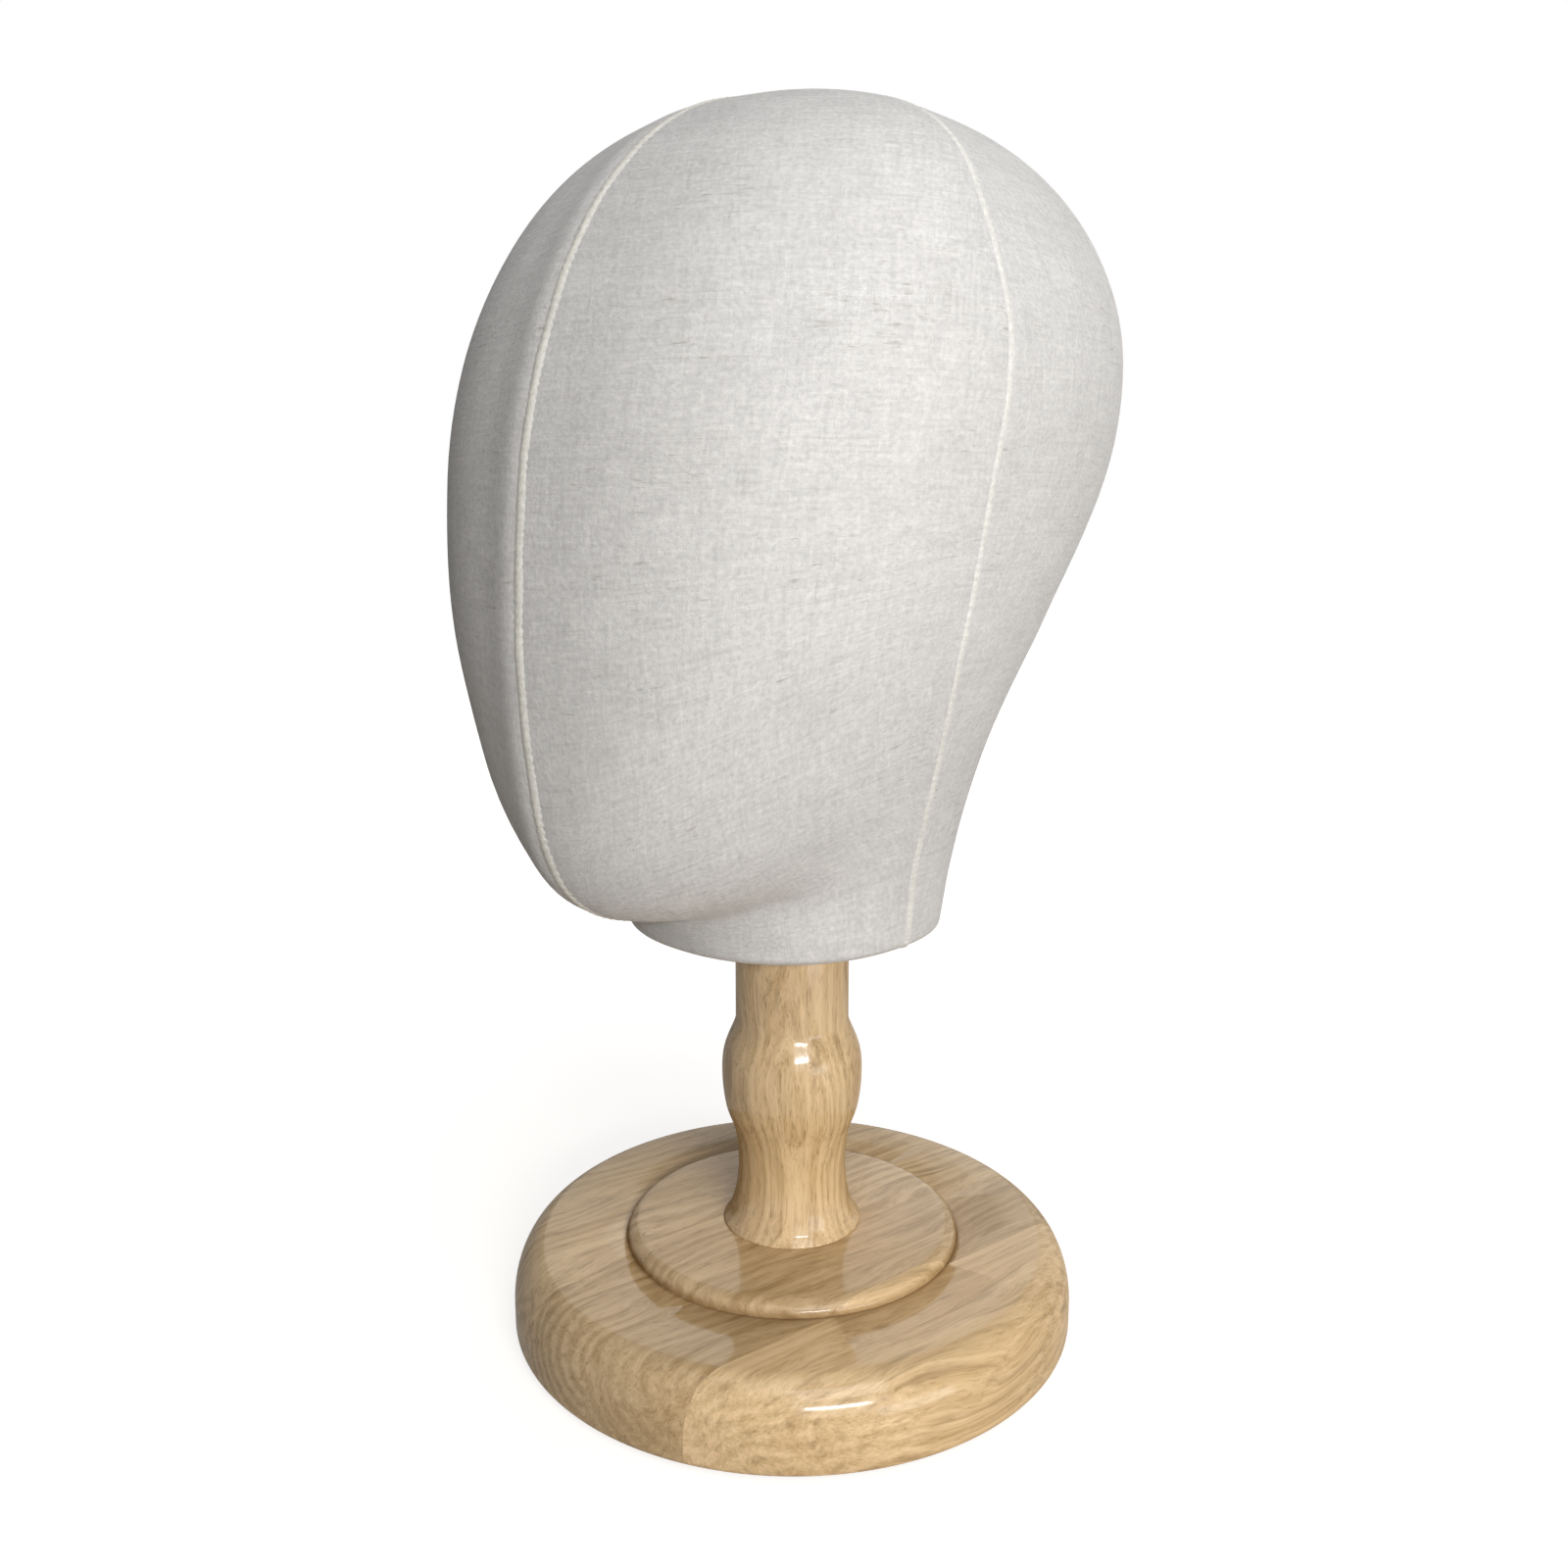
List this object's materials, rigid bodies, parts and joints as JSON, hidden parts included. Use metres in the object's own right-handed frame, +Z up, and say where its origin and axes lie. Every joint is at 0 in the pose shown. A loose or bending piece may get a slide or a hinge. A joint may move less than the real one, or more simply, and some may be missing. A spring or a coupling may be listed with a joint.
{
  "type": "mannequin head",
  "caption": "Faceless linen-covered display head with raised seams, which turns and lifts off a turned wooden post on a round stepped wooden base.",
  "frame": {"origin": "middle of the felt's underside, on the axis of the post", "axes": "+Z up along the post, the face looks along -Y, +X is the head's own left side"},
  "size_m": [0.18, 0.212, 0.3686],
  "materials": {
    "felt": "matte",
    "wood": "gloss",
    "steel": "satin",
    "nylon": "satin",
    "plywood": "matte",
    "shell": "matte",
    "linen": "matte",
    "seam_linen": "matte"
  },
  "bodies": {
    "base": {"base_felt": "felt", "base_stave_1": "wood", "base_stave_2": "wood", "base_stave_3": "wood", "base_stave_4": "wood", "base_stave_5": "wood", "post": "wood", "post_pin": "steel", "lag_screw": "steel", "lag_washer": "steel"},
    "swivel_bush": {"swivel_bush": "nylon"},
    "head": {"head_shell": "shell", "neck_plate": "plywood", "neck_socket": "steel", "socket_screw_1": "steel", "socket_screw_2": "steel", "socket_screw_3": "steel", "socket_screw_4": "steel", "cover_front_left": "linen", "cover_back_left": "linen", "cover_back_right": "linen", "cover_front_right": "linen", "seam_centre": "seam_linen", "seam_left": "seam_linen", "seam_right": "seam_linen"}
  },
  "joints": [
    {"name": "head_lift", "type": "slide", "parent": "base", "child": "swivel_bush", "axis": [0, 0, 1], "range_m": [0, 0.045]},
    {"name": "head_turn", "type": "hinge", "parent": "swivel_bush", "child": "head", "pos_m": [0, 0, 0.133], "axis": [0, 0, 1], "continuous": true}
  ]
}
